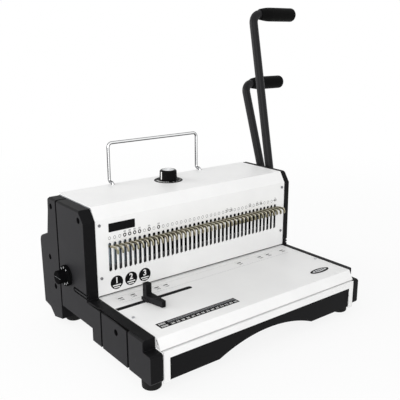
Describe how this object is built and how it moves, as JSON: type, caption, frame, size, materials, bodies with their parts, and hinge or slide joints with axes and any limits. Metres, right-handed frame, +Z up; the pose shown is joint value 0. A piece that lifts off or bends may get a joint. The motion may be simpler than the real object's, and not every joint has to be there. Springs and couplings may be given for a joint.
{
  "type": "wire binding machine",
  "caption": "Desktop wire binding machine: white slotted head with curved hooks over a flat table, black side covers, a long punching lever and a short closing lever.",
  "frame": {"origin": "on the desk, below the slotted face, at the middle of the row of slots", "axes": "+X along the row of slots to the lever side, +Y to the rear, +Z up"},
  "size_m": [0.5495, 0.3332, 0.4915],
  "materials": {
    "white_paint": "satin",
    "black_plastic": "matte",
    "lever_paint": "satin",
    "grip_rubber": "matte",
    "foot_rubber": "matte",
    "frame_steel": "satin",
    "bright_steel": "polished",
    "bronze": "satin",
    "hook_plating": "satin"
  },
  "bodies": {
    "frame": {"paper_table": "white_paint", "front_apron": "white_paint", "head_cover": "white_paint", "front_fascia": "black_plastic", "left_front_cover": "black_plastic", "left_rear_cover": "black_plastic", "right_front_cover": "black_plastic", "right_rear_cover": "black_plastic", "rear_housing": "black_plastic", "dial_plate": "black_plastic", "rubber_feet": "foot_rubber", "base_pan": "frame_steel", "left_side_plate": "frame_steel", "right_side_plate": "frame_steel", "foot_brackets": "frame_steel", "foot_screws": "frame_steel", "front_tie_bar": "frame_steel", "top_bridge": "frame_steel", "die_plate": "frame_steel", "stripper_plate": "frame_steel", "cam_bracket": "frame_steel", "cover_screws": "frame_steel", "punch_springs": "frame_steel", "hook_springs": "frame_steel", "wire_rack": "bright_steel", "ram_rods": "bright_steel", "hook_rods": "bright_steel", "wedge_rod": "bright_steel", "table_screws": "bright_steel", "head_screws": "bright_steel", "shaft_bushes": "bronze"},
    "punch_lever": {"punch_arm": "lever_paint", "punch_grip": "grip_rubber", "punch_shaft": "frame_steel", "punch_pinions": "frame_steel"},
    "ram": {"punch_ram": "frame_steel", "punch_pins": "bright_steel", "punch_racks": "frame_steel"},
    "closing_lever": {"closing_arm": "lever_paint", "closing_grip": "grip_rubber", "closing_shaft": "frame_steel", "closing_pinions": "frame_steel"},
    "hook_carriage": {"hook_bar": "frame_steel", "wire_hooks": "hook_plating", "hook_racks": "frame_steel"},
    "margin_dial": {"margin_knob": "black_plastic", "knob_cap": "bright_steel", "dial_spindle": "frame_steel", "snail_cam": "bronze"},
    "paper_stop": {"margin_stop": "frame_steel"},
    "size_dial": {"size_knob": "black_plastic", "size_spindle": "frame_steel"},
    "wedge": {"stop_wedge": "bronze"},
    "paper_guide": {"side_guide": "black_plastic", "guide_shoe": "frame_steel", "guide_screw": "bright_steel"},
    "tray": {"chip_tray": "black_plastic"}
  },
  "joints": [
    {"name": "punch_lever_swing", "type": "hinge", "parent": "frame", "child": "punch_lever", "pos_m": [0, 0.047, 0.115], "axis": [1, 0, 0], "range_deg": [0, 80]},
    {"name": "punch_ram_slide", "type": "slide", "parent": "frame", "child": "ram", "axis": [0, 0, -1], "range_m": [0, 0.0147], "stiffness_N_per_m": 3000, "springref_m": -0.03, "deforming": ["punch_springs"]},
    {"name": "closing_lever_swing", "type": "hinge", "parent": "frame", "child": "closing_lever", "pos_m": [0, 0.0939, 0.165], "axis": [1, 0, 0], "range_deg": [0, 80]},
    {"name": "hook_carriage_slide", "type": "slide", "parent": "frame", "child": "hook_carriage", "axis": [0, 0, -1], "range_m": [0, 0.0252], "stiffness_N_per_m": 1200, "springref_m": -0.03, "deforming": ["hook_springs"]},
    {"name": "margin_dial_turn", "type": "hinge", "parent": "frame", "child": "margin_dial", "pos_m": [-0.006, 0.08, 0.2098], "axis": [0, 0, 1], "range_deg": [-135, 135]},
    {"name": "paper_stop_slide", "type": "slide", "parent": "frame", "child": "paper_stop", "axis": [0, 1, 0], "range_m": [-0.00201, 0.00201]},
    {"name": "size_knob_turn", "type": "hinge", "parent": "frame", "child": "size_dial", "pos_m": [-0.2065, 0.058, 0.0975], "axis": [1, 0, 0], "range_deg": [-180, 180]},
    {"name": "stop_wedge_slide", "type": "slide", "parent": "frame", "child": "wedge", "axis": [1, 0, 0], "range_m": [-0.00201, 0.00201]},
    {"name": "side_guide_slide", "type": "slide", "parent": "frame", "child": "paper_guide", "axis": [1, 0, 0], "range_m": [-0.034, 0.064]},
    {"name": "chip_tray_slide", "type": "slide", "parent": "frame", "child": "tray", "axis": [-1, 0, 0], "range_m": [0, 0.25]}
  ],
  "couplings": [
    {"joint": "punch_ram_slide", "follows": "punch_lever_swing", "m_per_rad": 0.0105},
    {"joint": "hook_carriage_slide", "follows": "closing_lever_swing", "m_per_rad": 0.018},
    {"joint": "paper_stop_slide", "follows": "margin_dial_turn", "m_per_rad": 0.00084883},
    {"joint": "stop_wedge_slide", "follows": "size_knob_turn", "m_per_rad": 0.00063662}
  ]
}
